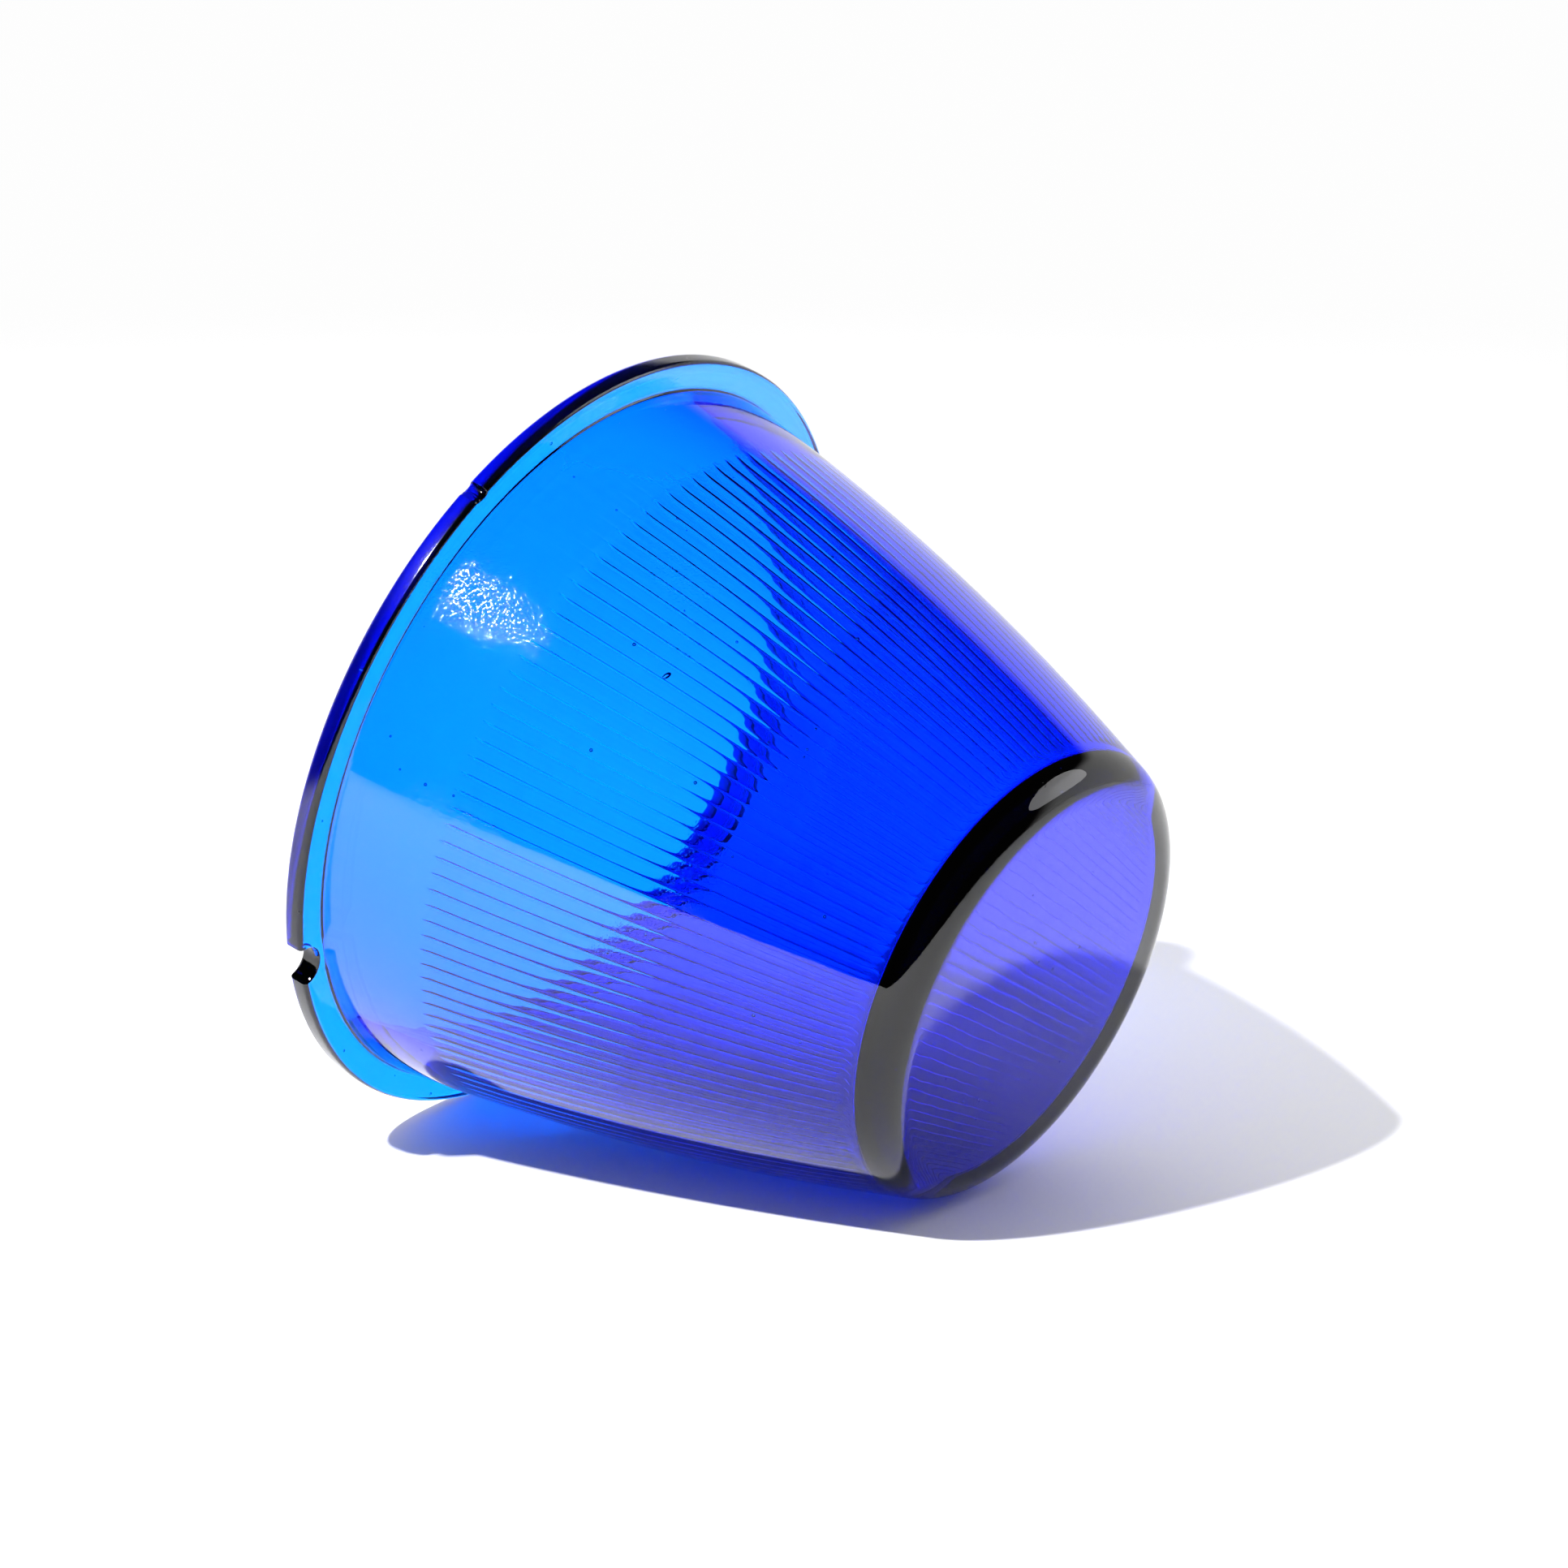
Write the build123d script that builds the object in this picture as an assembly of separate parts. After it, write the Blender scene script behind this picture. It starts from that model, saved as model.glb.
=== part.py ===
"""Glass lens of an airfield edge light: a bulging cup with a mounting flange and a fluted inside.

The lens is one pressed piece of glass. It stands on its mouth, crown up, with its axis on +Z and
its origin at the centre of the mouth. All sizes are in millimetres.
"""
import os
from math import asin, degrees, hypot

from build123d import *

# Flange
flange_diameter = 140.0
flange_thickness = 3.8
flange_edge_radius = 0.9

# Outside of the cup
height = 103.7
wall_base_radius = 64.8
crown_radius = 39.2
wall_bulge = 2.8
crown_corner_radius = 7.0
root_fillet_radius = 0.8

# Inside of the cup
wall_thickness = 5.0
crown_thickness = 8.5
inner_corner_radius = 1.0
mouth_edge_radius = 1.2

# Half-round locating notch in the flange's rim
notch_angle = 45.0
notch_radius = 4.0

# Grooves between the ribs of the fluted inside
rib_count = 120
groove_width = 0.7
groove_depth = 0.45
groove_start_gap = 15.2
groove_crown_gap = 1.2
cutter_overlap = 0.4

# Worked out from the sizes above
flange_radius = flange_diameter / 2
wall_taper = (wall_base_radius - crown_radius) / (height - flange_thickness)
cavity_height = height - crown_thickness
mouth_radius = wall_base_radius - wall_thickness
cavity_crown_radius = crown_radius + crown_thickness * wall_taper - wall_thickness


def cup_section(base_radius, base_height, top_radius, top_height):
    """Half section of a bulging cup, X outwards and Y along the axis, closed on the axis."""
    wall = SagittaArc((base_radius, base_height), (top_radius, top_height), -wall_bulge)
    rest = Polyline((top_radius, top_height), (0, top_height), (0, base_height), (base_radius, base_height))
    return make_face(wall + rest)


def round_corner(section, x, y, radius):
    """Round the corner of a flat section that lies nearest to the point."""
    corner = section.vertices().sort_by_distance((x, y, 0))[0]
    return fillet(corner, radius)


def make_glass():
    """The plain glass cup with its flange, before the notch and the grooves."""
    outside = cup_section(wall_base_radius, flange_thickness, crown_radius, height)
    flange = Pos(flange_radius / 2, flange_thickness / 2) * Rectangle(flange_radius, flange_thickness)
    cavity = cup_section(mouth_radius, 0, cavity_crown_radius, cavity_height)
    section = outside + flange - cavity
    section = round_corner(section, crown_radius, height, crown_corner_radius)
    section = round_corner(section, cavity_crown_radius, cavity_height, inner_corner_radius)
    section = round_corner(section, wall_base_radius, flange_thickness, root_fillet_radius)
    section = round_corner(section, flange_radius, flange_thickness, flange_edge_radius)
    section = round_corner(section, flange_radius, 0, flange_edge_radius)
    section = round_corner(section, mouth_radius, 0, mouth_edge_radius)
    return revolve(Plane.XZ * section, Axis.Z)


def make_notch_cutter():
    """A round post that takes a half-round bite out of the flange's rim."""
    post = Cylinder(notch_radius, 3 * flange_thickness)
    return Rot(0, 0, notch_angle) * Pos(flange_radius, 0, flange_thickness / 2) * post


def make_groove_cutter():
    """A vee that follows the bulging inner wall from the groove's start to near the crown."""
    chord_run = mouth_radius - cavity_crown_radius
    chord = hypot(chord_run, cavity_height)
    arc_radius = (chord ** 2 / 4 + wall_bulge ** 2) / (2 * wall_bulge)
    inset = (arc_radius - wall_bulge) / chord
    arc_x = (mouth_radius + cavity_crown_radius) / 2 - inset * cavity_height
    arc_z = cavity_height / 2 - inset * chord_run
    start_height = flange_thickness + groove_start_gap
    end_height = cavity_height - groove_crown_gap
    start_angle = degrees(asin((start_height - arc_z) / arc_radius))
    end_angle = degrees(asin((end_height - arc_z) / arc_radius))
    half_width = groove_width / 2 * (1 + cutter_overlap / groove_depth)
    vee = make_face(
        Polyline(
            (arc_radius - cutter_overlap, half_width),
            (arc_radius + groove_depth, 0),
            (arc_radius - cutter_overlap, -half_width),
            close=True,
        )
    )
    swept = revolve(vee, Axis.Y, end_angle - start_angle)
    return Pos(arc_x, 0, arc_z) * Rot(0, -end_angle, 0) * swept


def make_lens():
    """The finished lens: the glass cup, its notch and the ring of grooves inside."""
    groove = make_groove_cutter()
    grooves = [Rot(0, 0, index * 360 / rib_count) * groove for index in range(rib_count)]
    return make_glass() - make_notch_cutter() - grooves


os.makedirs("parts", exist_ok=True)
lens = make_lens()
lens.label = "lens"
export_step(lens, "parts/lens.step")
print("lens volume mm3", round(lens.volume), "size", lens.bounding_box().size)
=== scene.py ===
"""A deep blue pressed-glass lens of an airfield edge light, lying on its side on a pale sheet.

The lens is one piece of glass: a bulging cup with a flat crown, a mounting flange with a half-round
locating notch, and flutes down the inside. Lengths are in metres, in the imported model's own frame.
"""
import math

import bmesh
import bpy
from bpy.props import FloatProperty, FloatVectorProperty, IntProperty, PointerProperty
from mathutils import Matrix, Vector


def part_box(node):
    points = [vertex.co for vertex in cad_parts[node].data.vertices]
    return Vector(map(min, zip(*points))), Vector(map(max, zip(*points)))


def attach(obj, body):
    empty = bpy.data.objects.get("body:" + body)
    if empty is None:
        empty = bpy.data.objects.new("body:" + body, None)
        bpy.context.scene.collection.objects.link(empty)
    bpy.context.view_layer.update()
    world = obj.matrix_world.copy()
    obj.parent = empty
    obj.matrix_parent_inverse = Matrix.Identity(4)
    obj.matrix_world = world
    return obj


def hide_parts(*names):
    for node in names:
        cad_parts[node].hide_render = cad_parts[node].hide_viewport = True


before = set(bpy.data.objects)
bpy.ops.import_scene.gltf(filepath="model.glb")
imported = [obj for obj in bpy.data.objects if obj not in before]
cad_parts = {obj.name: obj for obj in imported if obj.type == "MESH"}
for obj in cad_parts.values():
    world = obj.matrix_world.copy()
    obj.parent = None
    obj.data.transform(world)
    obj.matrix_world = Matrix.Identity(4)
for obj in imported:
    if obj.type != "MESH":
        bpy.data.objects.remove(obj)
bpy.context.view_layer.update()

bl_info = {
    "name": "Airfield Light Lens",
    "version": (1, 0, 0),
    "blender": (4, 5, 0),
    "location": "View3D > Sidebar > Lens",
    "description": "Builds a fluted blue glass lens and the pale studio it lies in",
    "category": "Add Mesh",
}

LENS_LOW, LENS_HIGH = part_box("lens")
MM = 0.001

# Chips in the rim: angle from the notch, half width as an angle, depth
CHIPS = [
    (math.radians(-75.9), math.radians(0.85), 0.50 * MM),
    (math.radians(-74.9), math.radians(0.55), 0.28 * MM),
]
# Where the inside's columns stand across a flute: close together near its ridges
FLUTE_PLACES = (0, 0.03, 0.07, 0.13, 0.22, 0.38, 0.62, 0.78, 0.87, 0.93, 0.97)
# Length of the flutes' end ramp, as a share of their start ramp
END_RAMP_SHARE = 0.6
OUTSIDE_COLUMNS = 384
# Edges that bend more than this are shaded sharp
SHARP_ANGLE = math.radians(17)

# Bubbles: how many to a square metre of the outside, and the largest radius
SEED_DENSITY = 2600.0
SEED_SIZE = 0.34 * MM
# One dark flaw in the wall: its middle, turn and half sizes
STONE_PLACE = (0.0500, -0.0224, 0.0440)
STONE_TURN = (0.5, 0.2, 0.7)
STONE_SIZE = (0.95 * MM, 0.45 * MM, 0.40 * MM)

# Middle of the patch of wall that has been rubbed most, and how that patch is stretched up the wall
RUBBED_PLACE = (0.0600, -0.0195, 0.0110)
RUBBED_SQUEEZE = (1.0, 1.0, 0.36)

# Ways to the lamps, as shares right, away from the camera and up
KEY_WAY = (-0.47, -0.41, 0.78)
KEY_DISTANCE = 1.3
KEY_SIZE = 0.05
WINDOW_WAY = (0.90, 0.05, 0.43)
WINDOW_DISTANCE = 1.2
WINDOW_SIZE = 0.70
# What the lamps aim at, above the middle of the lens's footprint
AIM_HEIGHT = 0.05

# Edges of the sheet, from the middle of the footprint
SHEET_FRONT, SHEET_BACK, SHEET_SIDE = -0.40, 1.30, 1.30
# Brightness of the dark part of the room, and of the room before the lens as the glass sees it
ROOM_DARK = 0.012
FRONT_GLOW = 1.4


class LensSizes(bpy.types.PropertyGroup):
    """Sizes of the glass."""

    flange_diameter: FloatProperty(
        name="Flange Diameter", description="Across the mounting flange", unit="LENGTH",
        default=LENS_HIGH[1] - LENS_LOW[1])
    height: FloatProperty(
        name="Height", description="From the mouth to the top of the crown", unit="LENGTH",
        default=LENS_HIGH[2])
    flange_thickness: FloatProperty(
        name="Flange Thickness", description="Thickness of the flange", unit="LENGTH", default=3.8 * MM)
    flange_edge_radius: FloatProperty(
        name="Flange Edge Radius", description="Rounding of the flange's rim", unit="LENGTH",
        default=0.9 * MM)
    wall_base_radius: FloatProperty(
        name="Wall Base Radius", description="Outside of the wall where it leaves the flange",
        unit="LENGTH", default=64.8 * MM)
    crown_radius: FloatProperty(
        name="Crown Radius", description="Outside of the crown before its corner is rounded",
        unit="LENGTH", default=39.2 * MM)
    wall_bulge: FloatProperty(
        name="Wall Bulge", description="How far the wall bows out from a straight taper",
        unit="LENGTH", default=2.8 * MM)
    crown_corner_radius: FloatProperty(
        name="Crown Corner Radius", description="Rounding between the wall and the crown",
        unit="LENGTH", default=7.0 * MM)
    root_fillet_radius: FloatProperty(
        name="Root Fillet Radius", description="Fillet between the flange and the wall",
        unit="LENGTH", default=0.8 * MM)
    wall_thickness: FloatProperty(
        name="Wall Thickness", description="Glass thickness of the wall", unit="LENGTH",
        default=5.0 * MM)
    crown_thickness: FloatProperty(
        name="Crown Thickness", description="Glass thickness of the crown", unit="LENGTH",
        default=8.5 * MM)
    inner_corner_radius: FloatProperty(
        name="Inner Corner Radius", description="Rounding inside the crown", unit="LENGTH",
        default=1.0 * MM)
    mouth_edge_radius: FloatProperty(
        name="Mouth Edge Radius", description="Rounding of the mouth's inner edge", unit="LENGTH",
        default=0.5 * MM)
    notch_angle: FloatProperty(
        name="Notch Angle", description="Where the locating notch is, about the axis",
        subtype="ANGLE", default=math.radians(45))
    notch_radius: FloatProperty(
        name="Notch Radius", description="Radius of the half-round notch", unit="LENGTH",
        default=4.0 * MM)
    flute_count: IntProperty(
        name="Flute Count", description="Flutes round the inside", default=120, min=3)
    flute_depth: FloatProperty(
        name="Flute Depth", description="Height of the ridge between two flutes", unit="LENGTH",
        default=0.26 * MM)
    flute_step: FloatProperty(
        name="Flute Step", description="How far the fluted part stands in from the plain part",
        unit="LENGTH", default=0.10 * MM)
    flute_start: FloatProperty(
        name="Flute Start", description="Height at which the flutes start", unit="LENGTH",
        default=19.0 * MM)
    flute_end: FloatProperty(
        name="Flute End", description="Height at which the flutes end", unit="LENGTH",
        default=94.0 * MM)
    flute_ramp: FloatProperty(
        name="Flute Ramp", description="Length over which a flute reaches its depth",
        unit="LENGTH", default=3.5 * MM)


class GlassLook(bpy.types.PropertyGroup):
    """Colour and finish of the glass."""

    absorption_color: FloatVectorProperty(
        name="Absorption Colour", description="Colour that the glass lets through", subtype="COLOR",
        size=3, default=(0.0714, 0.726, 0.956), min=0, max=1)
    absorption_density: FloatProperty(
        name="Absorption Density", description="Strength of the absorption, per metre",
        default=1400.0)
    ior: FloatProperty(name="IOR", description="Refractive index of the glass", default=1.52)
    gloss_roughness: FloatProperty(
        name="Gloss Roughness", description="Roughness of the clean glass", default=0.004)
    scuff_roughness: FloatProperty(
        name="Scuff Roughness", description="Roughness in the middle of a scuff", default=0.10)


class StudioSetup(bpy.types.PropertyGroup):
    """How the lens lies, and where the camera and lights stand."""

    rest_angle: FloatProperty(
        name="Rest Angle", description="Side of the lens that lies on the sheet, from the notch",
        subtype="ANGLE", default=math.radians(65.2))
    turn: FloatProperty(
        name="Turn", description="How far the crown points towards the camera, from straight right",
        subtype="ANGLE", default=math.radians(36.25))
    camera_rise: FloatProperty(
        name="Camera Rise", description="Height of the view above the sheet", subtype="ANGLE",
        default=math.radians(14.59))
    camera_distance: FloatProperty(
        name="Camera Distance", description="From the camera to the middle of the mouth",
        unit="LENGTH", default=1.060)
    frame_right: FloatProperty(
        name="Frame Right", description="How far right of the mouth's middle the camera aims",
        unit="LENGTH", default=0.0385)
    frame_up: FloatProperty(
        name="Frame Up", description="How far above the mouth's middle the camera aims",
        unit="LENGTH", default=-0.0096)
    focal_length: FloatProperty(
        name="Focal Length", description="In millimetres, on a 36 mm wide sensor", default=141.07)
    key_power: FloatProperty(
        name="Key Power", description="Power of the key light", unit="POWER", default=28.0)
    glint_power: FloatProperty(
        name="Glint Power", description="Power of the lamp that only makes highlights", unit="POWER",
        default=8.0)
    window_power: FloatProperty(
        name="Window Power", description="Power of the soft highlight from the right", unit="POWER",
        default=3.0)
    sheet_white: FloatProperty(
        name="Sheet White", description="Lightness of the sheet", default=0.86)
    room_white: FloatProperty(
        name="Room White", description="Light from the pale room on the sheet", default=1.10)
    backdrop_white: FloatProperty(
        name="Backdrop White", description="Brightness of the pale backdrop beside the lens",
        default=0.985)
    backdrop_glow: FloatProperty(
        name="Backdrop Glow", description="Brightness of the backdrop as the glass sees it",
        default=3.50)
    key_glow: FloatProperty(
        name="Key Glow", description="Strength of the key light that comes through the glass",
        default=40.0)


# ---------------------------------------------------------------- shader and geometry node helpers


class Link:
    """A node socket that takes part in plain Python sums."""

    def __init__(self, maker, socket):
        self.maker = maker
        self.socket = socket

    def _math(self, operation, first, second=None):
        values = {0: first} if second is None else {0: first, 1: second}
        return self.maker.add(self.maker.math_type, {"operation": operation}, values)

    def __add__(self, other):
        return self._math("ADD", self, other)

    def __radd__(self, other):
        return self._math("ADD", other, self)

    def __sub__(self, other):
        return self._math("SUBTRACT", self, other)

    def __rsub__(self, other):
        return self._math("SUBTRACT", other, self)

    def __mul__(self, other):
        return self._math("MULTIPLY", self, other)

    def __rmul__(self, other):
        return self._math("MULTIPLY", other, self)

    def __truediv__(self, other):
        return self._math("DIVIDE", self, other)

    def __pow__(self, other):
        return self._math("POWER", self, other)


class Nodes:
    """Adds nodes to a tree: a type, its settings, and the values or links of its sockets."""

    def __init__(self, tree, math_type="ShaderNodeMath"):
        self.tree = tree
        self.math_type = math_type

    def add(self, kind, settings=None, values=None, output=0):
        node = self.tree.nodes.new(kind)
        for name, value in (settings or {}).items():
            setattr(node, name, value)
        for name, value in (values or {}).items():
            self.feed(node.inputs[name], value)
        return Link(self, node.outputs[output]) if len(node.outputs) else node

    def feed(self, socket, value):
        if isinstance(value, Link):
            self.tree.links.new(value.socket, socket)
        else:
            socket.default_value = value

    def smooth(self, value, low, high, to_low=0.0, to_high=1.0):
        """A soft step of value from low to high."""
        values = {"Value": value, "From Min": low, "From Max": high, "To Min": to_low, "To Max": to_high}
        return self.add("ShaderNodeMapRange", {"interpolation_type": "SMOOTHSTEP"}, values)

    def along(self, vector, direction):
        """How far a vector reaches in a direction."""
        values = {0: vector, 1: tuple(direction)}
        return self.add("ShaderNodeVectorMath", {"operation": "DOT_PRODUCT"}, values, output="Value")


# ---------------------------------------------------------------- outline of the glass


class Wall:
    """A bulging wall line from its base to the crown, as an arc of a circle in the half section."""

    def __init__(self, base_radius, base_height, top_radius, top_height, bulge):
        run = base_radius - top_radius
        rise = top_height - base_height
        chord = math.hypot(run, rise)
        self.radius = (chord ** 2 / 4 + bulge ** 2) / (2 * bulge)
        inset = (self.radius - bulge) / chord
        self.x = (base_radius + top_radius) / 2 - inset * rise
        self.z = (base_height + top_height) / 2 - inset * run

    def at(self, height):
        """Radius of the wall at a height."""
        return self.x + math.sqrt(self.radius ** 2 - (height - self.z) ** 2)

    def corner_centre(self, height, inwards):
        """Centre of a rounding that touches the wall, at a height and so far inside it."""
        reach = self.radius - inwards
        return self.x + math.sqrt(reach ** 2 - (height - self.z) ** 2), height

    def touch_angle(self, centre):
        """Direction from a rounding's centre to where it touches the wall from inside."""
        return math.atan2(centre[1] - self.z, centre[0] - self.x)


def arc(centre, radius, start, end, steps):
    """Points on an arc, both ends included."""
    points = []
    for index in range(steps + 1):
        angle = start + (end - start) * index / steps
        points.append((centre[0] + radius * math.cos(angle), centre[1] + radius * math.sin(angle)))
    return points


def spread(start, end, steps):
    """Even values after start, up to and with end."""
    return [start + (end - start) * (index + 1) / steps for index in range(steps)]


def outside_outline(sizes):
    """The outline from the mouth face round the rim and up the wall to the crown's middle."""
    rim = sizes.flange_diameter / 2
    edge = sizes.flange_edge_radius
    top = sizes.flange_thickness
    wall = Wall(sizes.wall_base_radius, top, sizes.crown_radius, sizes.height, sizes.wall_bulge)
    quarter = math.pi / 2
    root = wall.corner_centre(top + sizes.root_fillet_radius, -sizes.root_fillet_radius)
    root_touch = wall.touch_angle(root) - math.pi
    crown = wall.corner_centre(sizes.height - sizes.crown_corner_radius, sizes.crown_corner_radius)
    crown_touch = wall.touch_angle(crown)
    points = arc((rim - edge, edge), edge, -quarter, 0, 7)
    points += arc((rim - edge, top - edge), edge, 0, quarter, 7)
    points.append(((rim + root[0]) / 2, top))
    points += arc(root, sizes.root_fillet_radius, -quarter, root_touch, 7)
    wall_low = points[-1][1]
    corner = arc(crown, sizes.crown_corner_radius, crown_touch, quarter, 14)
    for z in spread(wall_low, corner[0][1], 26)[:-1]:
        points.append((wall.at(z), z))
    points += corner
    flat = crown[0]
    for share in (0.985, 0.9, 0.6, 0.3):
        points.append((flat * share, sizes.height))
    return points


def flute_share(sizes, z):
    """How much of the flutes' full depth there is at a height."""
    def ease(value):
        value = min(max(value, 0.0), 1.0)
        return value * value * (3 - 2 * value)
    rise = ease((z - sizes.flute_start) / sizes.flute_ramp)
    fall = ease((sizes.flute_end - z) / (END_RAMP_SHARE * sizes.flute_ramp))
    return rise * fall


def inside_outline(sizes):
    """The outline from the mouth's inner edge up the cavity's wall to the crown's middle."""
    cavity_height = sizes.height - sizes.crown_thickness
    taper = (sizes.wall_base_radius - sizes.crown_radius) / (sizes.height - sizes.flange_thickness)
    base_radius = sizes.wall_base_radius - sizes.wall_thickness
    top_radius = sizes.crown_radius + sizes.crown_thickness * taper - sizes.wall_thickness
    wall = Wall(base_radius, 0, top_radius, cavity_height, sizes.wall_bulge)
    quarter = math.pi / 2
    mouth = wall.corner_centre(sizes.mouth_edge_radius, -sizes.mouth_edge_radius)
    mouth_touch = wall.touch_angle(mouth) - math.pi
    crown = wall.corner_centre(cavity_height - sizes.inner_corner_radius, sizes.inner_corner_radius)
    points = arc(mouth, sizes.mouth_edge_radius, -quarter, mouth_touch, 4)
    corner = arc(crown, sizes.inner_corner_radius, wall.touch_angle(crown), quarter, 7)
    ramp_end = sizes.flute_start + sizes.flute_ramp
    fade_start = sizes.flute_end - END_RAMP_SHARE * sizes.flute_ramp
    heights = spread(points[-1][1], sizes.flute_start, 4)
    heights += spread(sizes.flute_start, ramp_end, 7)
    heights += spread(ramp_end, fade_start, 13)
    heights += spread(fade_start, sizes.flute_end, 4)
    points += [(wall.at(z), z) for z in heights if z < corner[0][1] - 0.2 * MM]
    points += corner
    for share in (0.985, 0.9, 0.6, 0.3):
        points.append((crown[0] * share, cavity_height))
    return points


def rim_radius(sizes, angle):
    """Radius of the flange's rim at an angle: the notch, and a shallow chip further round."""
    rim = sizes.flange_diameter / 2
    off = math.remainder(angle - sizes.notch_angle, math.tau)
    side = rim * math.sin(off)
    if abs(off) < 0.2 and abs(side) < sizes.notch_radius:
        return rim * math.cos(off) - math.sqrt(sizes.notch_radius ** 2 - side ** 2)
    for centre, half, depth in CHIPS:
        share = math.remainder(angle - sizes.notch_angle - centre, math.tau) / half
        if abs(share) < 1:
            rim -= depth * (1 - share ** 2) ** 0.7
    return rim


def outside_angles(sizes, count):
    """Angles of the outside's columns: even ones, and close ones across the notch and chips."""
    rim = sizes.flange_diameter / 2
    angles = []
    for index in range(25):
        side = sizes.notch_radius * math.sin(math.pi * (index / 24 - 0.5))
        angles.append(sizes.notch_angle + math.asin(side / rim))
    for index in range(25):
        angles.append(sizes.notch_angle + CHIPS[0][0] + math.radians(2.8) * (index / 24 - 0.35))
    fine = list(angles)
    for index in range(count):
        angle = math.tau * index / count
        gaps = [abs(math.remainder(angle - other, math.tau)) for other in fine]
        if min(gaps) > 0.4 * math.tau / count:
            angles.append(angle)
    return sorted(angle % math.tau for angle in angles)


def add_skin(points, angles, vertices, faces, place):
    """Adds rings of vertices along an outline and the faces between them. Returns the first ring."""
    first = len(vertices)
    count = len(angles)
    for row, point in enumerate(points):
        for angle in angles:
            vertices.append(place(row, point, angle))
    for row in range(len(points) - 1):
        low = first + row * count
        for column in range(count):
            beside = (column + 1) % count
            faces.append((low + column, low + beside, low + count + beside, low + count + column))
    last = first + (len(points) - 1) * count
    centre = len(vertices)
    vertices.append((0.0, 0.0, points[-1][1]))
    for column in range(count):
        faces.append((last + column, last + (column + 1) % count, centre))
    return list(range(first, first + count))


def zip_rings(outer, outer_angles, inner, inner_angles, faces):
    """Fills the flat ring between two rings that have different numbers of vertices."""
    a = b = 0
    while a < len(outer) or b < len(inner):
        next_outer = outer_angles[a + 1] if a + 1 < len(outer) else outer_angles[0] + math.tau
        next_inner = inner_angles[b + 1] if b + 1 < len(inner) else inner_angles[0] + math.tau
        take_outer = b >= len(inner) or (a < len(outer) and next_outer <= next_inner)
        left, right = outer[a % len(outer)], inner[b % len(inner)]
        if take_outer:
            faces.append((left, outer[(a + 1) % len(outer)], right))
            a += 1
        else:
            faces.append((left, inner[(b + 1) % len(inner)], right))
            b += 1


def make_blank(sizes):
    """The lens before its flutes: a closed mesh with the flutes' share of depth on its vertices."""
    outline = outside_outline(sizes)
    hollow = inside_outline(sizes)
    rim = sizes.flange_diameter / 2
    foot = sizes.wall_base_radius
    outer_angles = outside_angles(sizes, OUTSIDE_COLUMNS)
    inner_angles = []
    for flute in range(sizes.flute_count):
        for place in FLUTE_PLACES:
            inner_angles.append(math.tau * (flute + place) / sizes.flute_count)
    flange_rows = {row for row, point in enumerate(outline) if point[0] > foot}

    def place_outside(row, point, angle):
        radius, z = point
        if row in flange_rows:
            radius = foot + (radius - foot) * (rim_radius(sizes, angle) - foot) / (rim - foot)
        return (radius * math.cos(angle), radius * math.sin(angle), z)

    def place_inside(row, point, angle):
        return (point[0] * math.cos(angle), point[0] * math.sin(angle), point[1])

    vertices = []
    faces = []
    outer = add_skin(outline, outer_angles, vertices, faces, place_outside)
    outside_count = len(vertices)
    inner = add_skin(hollow, inner_angles, vertices, faces, place_inside)
    zip_rings(outer, outer_angles, inner, inner_angles, faces)
    mesh = bpy.data.meshes.new("lens_blank")
    mesh.from_pydata(vertices, [], faces)
    share = mesh.attributes.new("flute_share", "FLOAT", "POINT")
    outside = mesh.attributes.new("outside", "FLOAT", "POINT")
    for index, vertex in enumerate(vertices):
        if index < outside_count:
            outside.data[index].value = 1.0
        else:
            share.data[index].value = flute_share(sizes, vertex[2])
    shell = bmesh.new()
    shell.from_mesh(mesh)
    bmesh.ops.recalc_face_normals(shell, faces=shell.faces)
    shell.to_mesh(mesh)
    shell.free()
    return mesh


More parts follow.
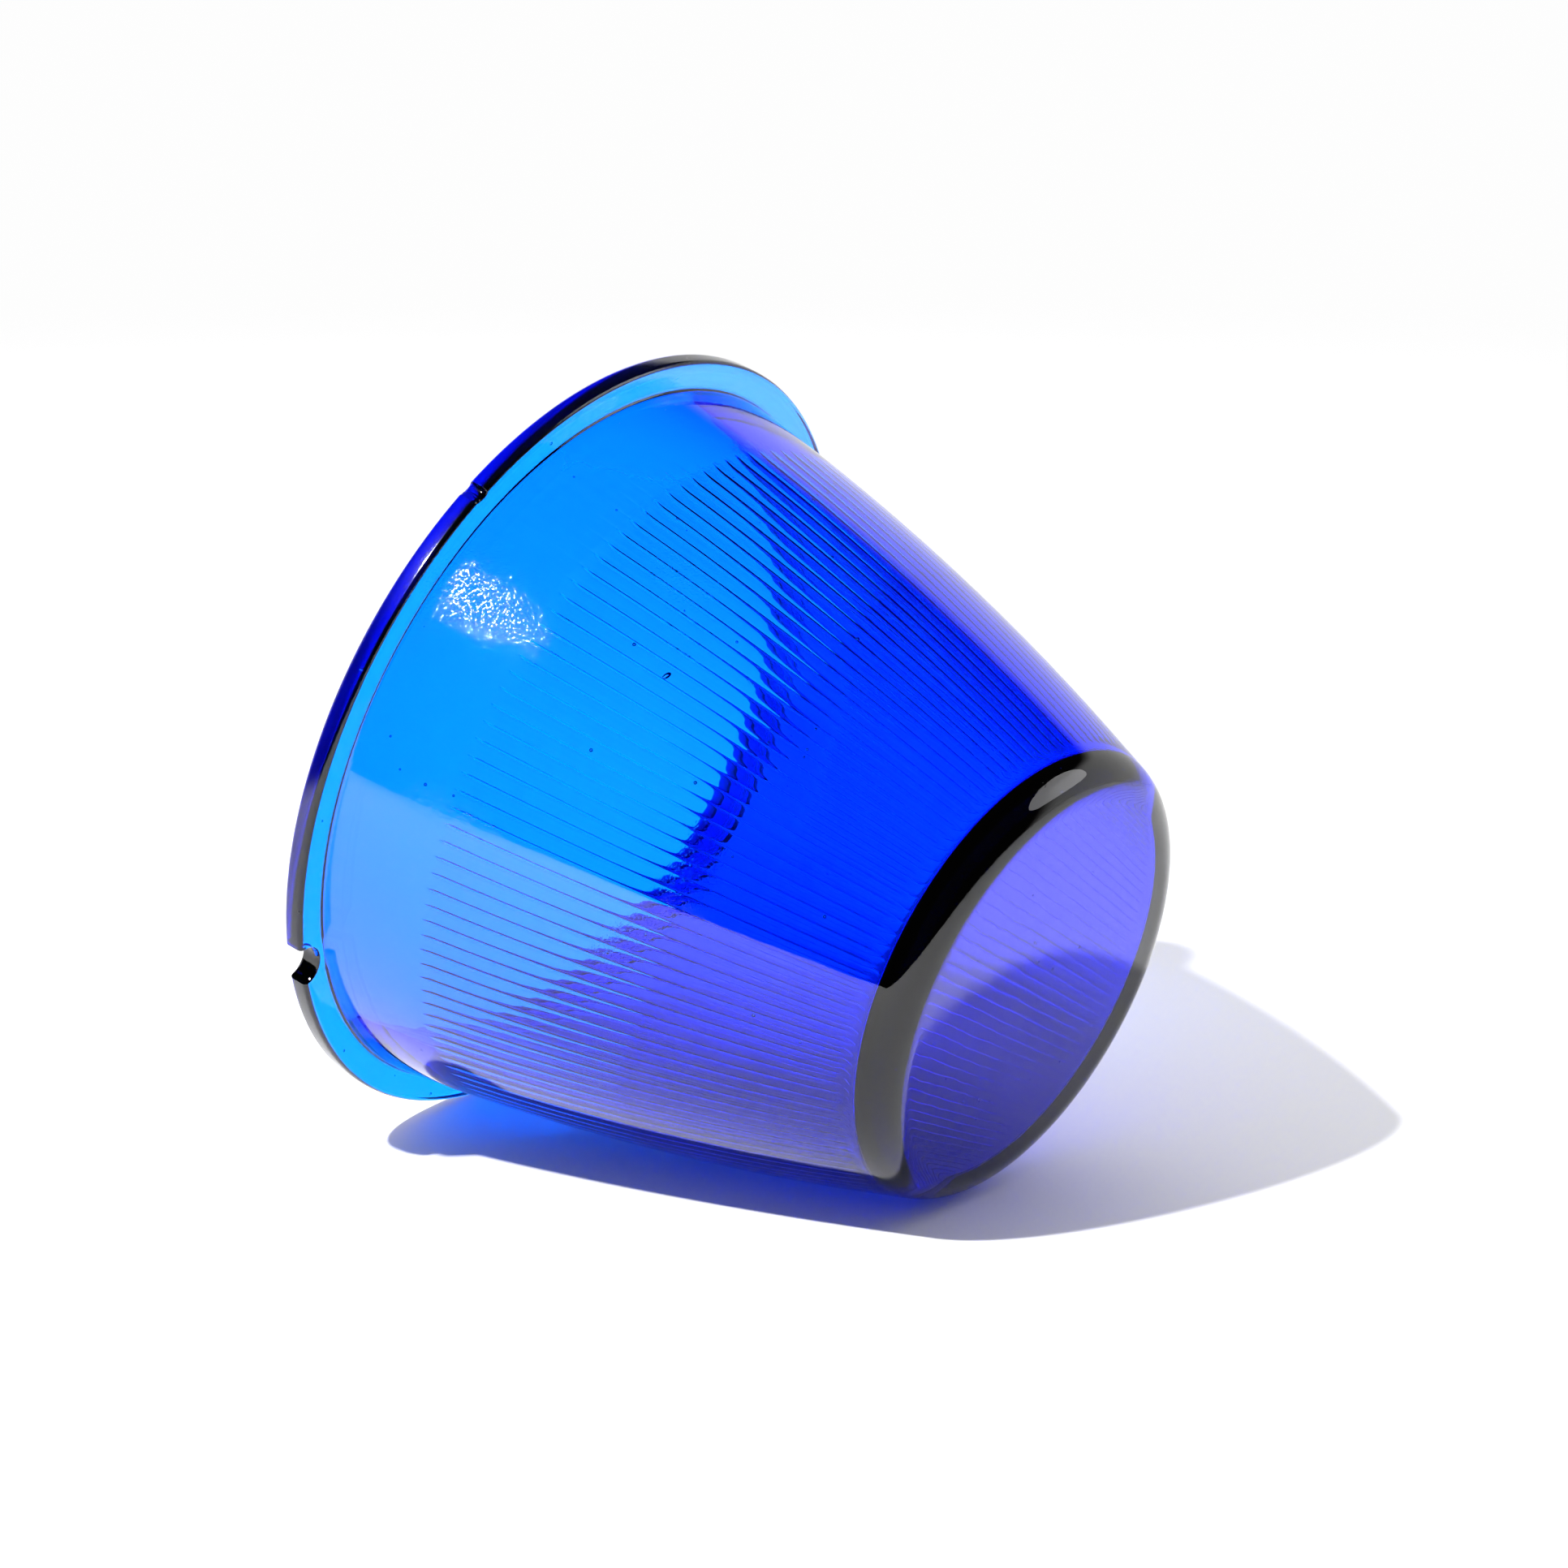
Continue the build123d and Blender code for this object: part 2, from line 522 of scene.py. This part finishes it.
def flute_tree(material):
    """Geometry nodes that press the flutes into the inside and scatter seeds through the glass."""
    tree = bpy.data.node_groups.new("press_flutes", "GeometryNodeTree")
    inputs = {}
    tree.interface.new_socket("Geometry", in_out="INPUT", socket_type="NodeSocketGeometry")
    for name, kind in (("Flute Count", "Int"), ("Flute Depth", "Float"), ("Flute Step", "Float"),
                       ("Mouth Radius", "Float"), ("Seed Density", "Float"), ("Seed Size", "Float")):
        item = tree.interface.new_socket(name, in_out="INPUT", socket_type="NodeSocket" + kind)
        inputs[name] = item.identifier
    tree.interface.new_socket("Geometry", in_out="OUTPUT", socket_type="NodeSocketGeometry")
    nodes = Nodes(tree)
    entry = tree.nodes.new("NodeGroupInput")
    source = {socket.name: Link(nodes, socket) for socket in entry.outputs if socket.name}

    position = nodes.add("GeometryNodeInputPosition")
    apart = tree.nodes.new("ShaderNodeSeparateXYZ")
    tree.links.new(position.socket, apart.inputs[0])
    x, y = Link(nodes, apart.outputs[0]), Link(nodes, apart.outputs[1])
    angle = nodes.add("ShaderNodeMath", {"operation": "ARCTAN2"}, {0: y, 1: x})
    turns = angle * source["Flute Count"] / math.tau
    phase = nodes.add("ShaderNodeMath", {"operation": "FRACT"}, {0: turns})
    across = phase * 2.0 - 1.0
    ridge = (across * across) ** 3.0
    share = nodes.add("GeometryNodeInputNamedAttribute", {"data_type": "FLOAT"}, {"Name": "flute_share"})
    flat = nodes.add("ShaderNodeCombineXYZ", None, {0: x, 1: y})
    radius = nodes.add("ShaderNodeVectorMath", {"operation": "LENGTH"}, {0: flat}, output="Value")
    ridge_height = source["Flute Depth"] * (radius / source["Mouth Radius"]) ** 2.4
    inwards = share * (source["Flute Step"] + ridge_height * ridge)
    axis = nodes.add("ShaderNodeVectorMath", {"operation": "NORMALIZE"}, {0: flat})
    shift = nodes.add("ShaderNodeVectorMath", {"operation": "SCALE"}, {0: axis, "Scale": inwards * -1.0})
    fluted = nodes.add("GeometryNodeSetPosition", None, {"Geometry": source["Geometry"], "Offset": shift})

    outside = nodes.add("GeometryNodeInputNamedAttribute", {"data_type": "FLOAT"}, {"Name": "outside"})
    scattered = nodes.add("GeometryNodeDistributePointsOnFaces", None, {
        "Mesh": source["Geometry"], "Selection": outside, "Density": source["Seed Density"], "Seed": 7})
    normal = Link(nodes, scattered.socket.node.outputs["Normal"])
    depth = nodes.add("FunctionNodeRandomValue", {"data_type": "FLOAT"},
                      {"Min": 1.1 * MM, "Max": 2.9 * MM, "Seed": 3}, output="Value")
    depth = Link(nodes, depth.socket.node.outputs[1])
    sunk = nodes.add("ShaderNodeVectorMath", {"operation": "SCALE"}, {0: normal, "Scale": depth * -1.0})
    places = nodes.add("GeometryNodeSetPosition", None, {"Geometry": scattered, "Offset": sunk})
    ball = nodes.add("GeometryNodeMeshIcoSphere", None, {"Radius": 1.0, "Subdivisions": 2})
    void = nodes.add("GeometryNodeFlipFaces", None, {"Mesh": ball})
    size = nodes.add("FunctionNodeRandomValue", {"data_type": "FLOAT"}, {"Seed": 11})
    size.socket.node.inputs[2].default_value = 0.35
    size.socket.node.inputs[3].default_value = 1.0
    size = Link(nodes, size.socket.node.outputs[1])
    scale = size * source["Seed Size"]
    seeds = nodes.add("GeometryNodeInstanceOnPoints", None,
                      {"Points": places, "Instance": void, "Scale": scale})
    loose = nodes.add("GeometryNodeRealizeInstances", None, {"Geometry": seeds})
    stone = nodes.add("GeometryNodeTransform", None, {
        "Geometry": void, "Translation": STONE_PLACE, "Rotation": STONE_TURN,
        "Scale": STONE_SIZE})
    join = tree.nodes.new("GeometryNodeJoinGeometry")
    tree.links.new(stone.socket, join.inputs[0])
    tree.links.new(loose.socket, join.inputs[0])
    tree.links.new(fluted.socket, join.inputs[0])
    shaded = nodes.add("GeometryNodeSetShadeSmooth", None, {0: Link(nodes, join.outputs[0])})
    whole = nodes.add("GeometryNodeRealizeInstances", None, {"Geometry": shaded})
    painted = nodes.add("GeometryNodeSetMaterial", None, {"Geometry": whole, "Material": material})
    leave = tree.nodes.new("NodeGroupOutput")
    tree.links.new(painted.socket, leave.inputs[0])
    return tree, inputs


def finished_mesh(blank, tree, values, name):
    """Runs a geometry node tree on a mesh and returns the plain result."""
    worker = bpy.data.objects.new(name + "_worker", blank)
    bpy.context.scene.collection.objects.link(worker)
    modifier = worker.modifiers.new("flutes", "NODES")
    modifier.node_group = tree
    for identifier, value in values.items():
        modifier[identifier] = value
    evaluated = worker.evaluated_get(bpy.context.evaluated_depsgraph_get())
    mesh = bpy.data.meshes.new_from_object(evaluated)
    bpy.data.objects.remove(worker)
    mesh.name = name
    return mesh


# ---------------------------------------------------------------- materials

def blue_glass(look):
    """Cobalt glass, clear and glossy, with scuffs, small pits and a faintly uneven skin."""
    material = bpy.data.materials.new("blue_glass")
    material.use_nodes = True
    tree = material.node_tree
    tree.nodes.clear()
    nodes = Nodes(tree)
    place = nodes.add("ShaderNodeTexCoord", output="Object")
    outside = nodes.add("ShaderNodeAttribute", {"attribute_name": "outside"}, output="Fac")
    patches = nodes.add("ShaderNodeTexNoise", None, {"Vector": place, "Scale": 38.0, "Detail": 3.0})
    specks = nodes.add("ShaderNodeTexNoise", None, {"Vector": place, "Scale": 1900.0, "Detail": 2.0})
    squeezed = nodes.add("ShaderNodeVectorMath", {"operation": "MULTIPLY"}, {0: place, 1: RUBBED_SQUEEZE})
    middle = tuple(a * b for a, b in zip(RUBBED_PLACE, RUBBED_SQUEEZE))
    from_rub = nodes.add("ShaderNodeVectorMath", {"operation": "DISTANCE"},
                         {0: squeezed, 1: middle}, output="Value")
    rubbed = nodes.smooth(from_rub, 0.001, 0.011, 1.0, 0.0)
    worn = nodes.add("ShaderNodeMath", {"operation": "MAXIMUM"},
                     {0: nodes.smooth(patches, 0.54, 0.72) * 0.6, 1: rubbed})
    scuffed = worn * nodes.smooth(specks, 0.50, 0.68) * outside
    pits = nodes.add("ShaderNodeTexVoronoi", None, {"Vector": place, "Scale": 420.0}, output="Distance")
    pit = nodes.smooth(pits, 0.05, 0.11, 1.0, 0.0) * nodes.smooth(patches, 0.45, 0.62) * outside
    flat = nodes.add("ShaderNodeVectorMath", {"operation": "MULTIPLY"}, {0: place, 1: (1.0, 1.0, 0.0)})
    from_axis = nodes.add("ShaderNodeVectorMath", {"operation": "LENGTH"}, {0: flat}, output="Value")
    rim = nodes.smooth(from_axis, 0.0690, 0.0697)
    haze = rubbed * outside * 0.008 + rim * 0.10
    roughness = look.gloss_roughness + haze + scuffed * look.scuff_roughness + pit * 0.2
    waves = nodes.add("ShaderNodeTexNoise", None, {"Vector": place, "Scale": 70.0, "Detail": 2.0})
    skin = nodes.add("ShaderNodeBump", None, {"Height": waves, "Strength": 0.06, "Distance": 0.0008})
    rough_skin = nodes.add("ShaderNodeBump", None, {
        "Height": scuffed, "Strength": 1.0, "Distance": 0.000016, "Normal": skin})
    shader = nodes.add("ShaderNodeBsdfPrincipled", None, {
        "Base Color": (1.0, 1.0, 1.0, 1.0), "Transmission Weight": 1.0, "IOR": look.ior,
        "Roughness": roughness, "Normal": rough_skin})
    absorbing = nodes.add("ShaderNodeVolumeAbsorption", None, {
        "Color": (*look.absorption_color, 1.0), "Density": look.absorption_density})
    output = tree.nodes.new("ShaderNodeOutputMaterial")
    tree.links.new(shader.socket, output.inputs["Surface"])
    tree.links.new(absorbing.socket, output.inputs["Volume"])
    return material


def pale_sheet(setup, centre):
    """Matt pale sheet, seen from its upper side only, that fades out towards its edges."""
    material = bpy.data.materials.new("pale_sheet")
    material.use_nodes = True
    tree = material.node_tree
    tree.nodes.clear()
    nodes = Nodes(tree)
    white = (setup.sheet_white, setup.sheet_white, setup.sheet_white * 1.005, 1.0)
    matt = nodes.add("ShaderNodeBsdfDiffuse", None, {"Color": white})
    clear = nodes.add("ShaderNodeBsdfTransparent")
    under = nodes.add("ShaderNodeNewGeometry", output="Backfacing")
    place = nodes.add("ShaderNodeTexCoord", output="Object")
    off = nodes.add("ShaderNodeVectorMath", {"operation": "DISTANCE"},
                    {0: place, 1: tuple(centre)}, output="Value")
    gone = nodes.smooth(off, 0.42, 0.85)
    hidden = nodes.add("ShaderNodeMath", {"operation": "MAXIMUM"}, {0: under, 1: gone})
    surface = nodes.add("ShaderNodeMixShader", None, {0: hidden, 1: matt, 2: clear})
    output = tree.nodes.new("ShaderNodeOutputMaterial")
    tree.links.new(surface.socket, output.inputs["Surface"])
    return material


# ---------------------------------------------------------------- the studio


class Lying:
    """Directions and places of the studio, for a lens that lies on its flange and crown corner."""

    def __init__(self, sizes, setup, mesh):
        angle = sizes.notch_angle + setup.rest_angle
        side = Vector((math.cos(angle), math.sin(angle), 0))
        wall = Wall(sizes.wall_base_radius, sizes.flange_thickness, sizes.crown_radius, sizes.height,
                    sizes.wall_bulge)
        corner = sizes.crown_corner_radius
        crown = wall.corner_centre(sizes.height - corner, corner)
        edge = sizes.flange_edge_radius
        reach = sizes.flange_diameter / 2 - edge - crown[0]
        rise = crown[1] - edge
        span = math.hypot(reach, rise)
        tilt = math.atan2(reach, rise) - math.asin((corner - edge) / span)
        self.up = -(side * math.cos(tilt) + Vector((0, 0, 1)) * math.sin(tilt))
        crownward = Vector((0, 0, 1)) - self.up * self.up.z
        crownward.normalize()
        across = self.up.cross(crownward)
        turn = -setup.turn
        self.right = crownward * math.cos(turn) - across * math.sin(turn)
        self.away = crownward * math.sin(turn) + across * math.cos(turn)
        lowest = min(vertex.co.dot(self.up) for vertex in mesh.vertices)
        middle = Vector((0, 0, sizes.height / 2))
        self.foot = middle + self.up * (lowest - middle.dot(self.up))
        self.key_way = self.way(KEY_WAY)

    def way(self, shares):
        """A direction from its shares right, away and up."""
        right, away, up = shares
        return (self.right * right + self.away * away + self.up * up).normalized()

    def point(self, right, away, up):
        """A place from the middle of the lens's footprint."""
        return self.foot + self.right * right + self.away * away + self.up * up


def make_camera(lying, setup):
    """The camera, aimed at the lying lens."""
    look = lying.away * math.cos(setup.camera_rise) - lying.up * math.sin(setup.camera_rise)
    top = lying.up * math.cos(setup.camera_rise) + lying.away * math.sin(setup.camera_rise)
    place = lying.right * setup.frame_right + top * setup.frame_up - look * setup.camera_distance
    camera = bpy.data.cameras.new("camera")
    camera.sensor_width = 36.0
    camera.sensor_fit = "HORIZONTAL"
    camera.lens = setup.focal_length
    camera.clip_start = 0.01
    camera.clip_end = 50.0
    holder = bpy.data.objects.new("camera", camera)
    holder.location = place
    holder.rotation_euler = upright_turn(look, top)
    bpy.context.scene.collection.objects.link(holder)
    bpy.context.scene.camera = holder
    return holder


def upright_turn(look, top):
    """The turn of a camera that looks one way with its top the right way up."""
    side = look.cross(top)
    return Matrix((side, top, -look)).transposed().to_euler()


def add_lamp(name, target, way, distance, size, power):
    """A round lamp that shines on a place, from so far off in a direction."""
    lamp = bpy.data.lights.new(name, "AREA")
    lamp.shape = "DISK"
    lamp.size = size
    lamp.energy = power
    holder = bpy.data.objects.new(name, lamp)
    holder.location = target + way * distance
    holder.rotation_euler = (-way).to_track_quat("-Z", "Y").to_euler()
    bpy.context.scene.collection.objects.link(holder)
    return holder


def make_sheet(lying, setup):
    """The pale sheet under the lens, with its front edge a short way before the lens."""
    corners = [(-SHEET_SIDE, SHEET_FRONT), (SHEET_SIDE, SHEET_FRONT),
               (SHEET_SIDE, SHEET_BACK), (-SHEET_SIDE, SHEET_BACK)]
    mesh = bpy.data.meshes.new("sheet")
    mesh.from_pydata([lying.point(x, y, 0) for x, y in corners], [], [(0, 1, 2, 3)])
    mesh.materials.append(pale_sheet(setup, lying.foot))
    sheet = bpy.data.objects.new("sheet", mesh)
    bpy.context.scene.collection.objects.link(sheet)
    return sheet


def light_room(lying, setup):
    """A pale backdrop low down behind the lens, a dimmer front, and a dark room above."""
    world = bpy.data.worlds.new("room")
    bpy.context.scene.world = world
    world.use_nodes = True
    tree = world.node_tree
    tree.nodes.clear()
    nodes = Nodes(tree)
    way = nodes.add("ShaderNodeTexCoord", output="Generated")
    rays = tree.nodes.new("ShaderNodeLightPath")
    up = nodes.along(way, lying.up)
    away = nodes.along(way, lying.away)
    low = nodes.smooth(up, 0.42, 0.56, 1.0, 0.0)
    behind = nodes.smooth(away, -0.12, 0.10)
    bounced = nodes.smooth(Link(nodes, rays.outputs["Diffuse Depth"]), 0.0, 1.0)
    through = nodes.smooth(Link(nodes, rays.outputs["Transmission Depth"]), 0.0, 1.0)
    mirrored = ROOM_DARK + behind * low * (setup.backdrop_white - ROOM_DARK)
    ahead = FRONT_GLOW + behind * (setup.backdrop_glow - FRONT_GLOW)
    looked_through = ROOM_DARK + low * (ahead - ROOM_DARK)
    room = mirrored + through * (looked_through - mirrored)
    near_key = nodes.smooth(nodes.along(way, lying.key_way), 0.955, 0.985)
    front_to_back = nodes.smooth(away, -0.4, 0.5, 0.15, 1.55)
    on_sheet = front_to_back * setup.room_white + through * near_key * setup.key_glow
    lit = room + bounced * (on_sheet - room)
    seen = lit + Link(nodes, rays.outputs["Is Camera Ray"]) * (setup.backdrop_white - lit)
    shine = nodes.add("ShaderNodeBackground", None, {"Color": (1.0, 1.0, 1.0, 1.0), "Strength": seen})
    world.cycles.sampling_method = "NONE"
    output = tree.nodes.new("ShaderNodeOutputWorld")
    tree.links.new(shine.socket, output.inputs["Surface"])


# ---------------------------------------------------------------- operators and panel


class LENS_OT_press_glass(bpy.types.Operator):
    """Press the fluted blue glass lens and put it in place of the plain one"""

    bl_idname = "lens.press_glass"
    bl_label = "Press Glass"

    def execute(self, context):
        sizes = context.scene.lens_sizes
        material = blue_glass(context.scene.glass_look)
        tree, names = flute_tree(material)
        values = {
            names["Flute Count"]: sizes.flute_count,
            names["Flute Depth"]: sizes.flute_depth,
            names["Flute Step"]: sizes.flute_step,
            names["Mouth Radius"]: sizes.wall_base_radius - sizes.wall_thickness,
            names["Seed Density"]: SEED_DENSITY,
            names["Seed Size"]: SEED_SIZE,
        }
        mesh = finished_mesh(make_blank(sizes), tree, values, "lens_glass")
        mesh.set_sharp_from_angle(angle=SHARP_ANGLE)
        glass = bpy.data.objects.new("lens_glass", mesh)
        context.scene.collection.objects.link(glass)
        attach(glass, "root")
        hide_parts("lens")
        return {"FINISHED"}


class LENS_OT_set_studio(bpy.types.Operator):
    """Lay the pale sheet, and set the camera, the lights and the room"""

    bl_idname = "lens.set_studio"
    bl_label = "Set Studio"

    def execute(self, context):
        scene = context.scene
        setup = scene.studio_setup
        glass = bpy.data.objects.get("lens_glass")
        if glass is None:
            raise RuntimeError("The glass has to be pressed before the studio is set")
        lying = Lying(scene.lens_sizes, setup, glass.data)
        make_camera(lying, setup)
        make_sheet(lying, setup)
        light_room(lying, setup)
        target = lying.point(0, 0, AIM_HEIGHT)
        add_lamp("key_light", target, lying.key_way, KEY_DISTANCE, KEY_SIZE, setup.key_power)
        glint = add_lamp("glint_light", target, lying.key_way, KEY_DISTANCE, KEY_SIZE, setup.glint_power)
        window = add_lamp("window_light", target, lying.way(WINDOW_WAY), WINDOW_DISTANCE, WINDOW_SIZE,
                          setup.window_power)
        for holder in (glint, window):
            holder.visible_diffuse = False
            holder.visible_transmission = False
        scene.view_settings.view_transform = "Standard"
        scene.view_settings.look = "None"
        scene.cycles.caustics_reflective = True
        scene.cycles.caustics_refractive = True
        scene.cycles.max_bounces = 32
        scene.cycles.transmission_bounces = 32
        scene.cycles.glossy_bounces = 16
        scene.cycles.transparent_max_bounces = 16
        return {"FINISHED"}


class LENS_PT_panel(bpy.types.Panel):
    """Buttons and sizes of the lens"""

    bl_idname = "LENS_PT_panel"
    bl_label = "Airfield Light Lens"
    bl_space_type = "VIEW_3D"
    bl_region_type = "UI"
    bl_category = "Lens"

    def draw(self, context):
        for kind in OPERATORS:
            self.layout.operator(kind.bl_idname)
        for group in (context.scene.lens_sizes, context.scene.glass_look, context.scene.studio_setup):
            for name in group.__annotations__:
                self.layout.prop(group, name)


OPERATORS = (LENS_OT_press_glass, LENS_OT_set_studio)
CLASSES = (LensSizes, GlassLook, StudioSetup, *OPERATORS, LENS_PT_panel)


def register():
    for kind in CLASSES:
        bpy.utils.register_class(kind)
    bpy.types.Scene.lens_sizes = PointerProperty(type=LensSizes)
    bpy.types.Scene.glass_look = PointerProperty(type=GlassLook)
    bpy.types.Scene.studio_setup = PointerProperty(type=StudioSetup)


def unregister():
    del bpy.types.Scene.studio_setup
    del bpy.types.Scene.glass_look
    del bpy.types.Scene.lens_sizes
    for kind in reversed(CLASSES):
        bpy.utils.unregister_class(kind)


def main():
    register()
    bpy.ops.lens.press_glass()
    bpy.ops.lens.set_studio()


if __name__ == "__main__":
    main()
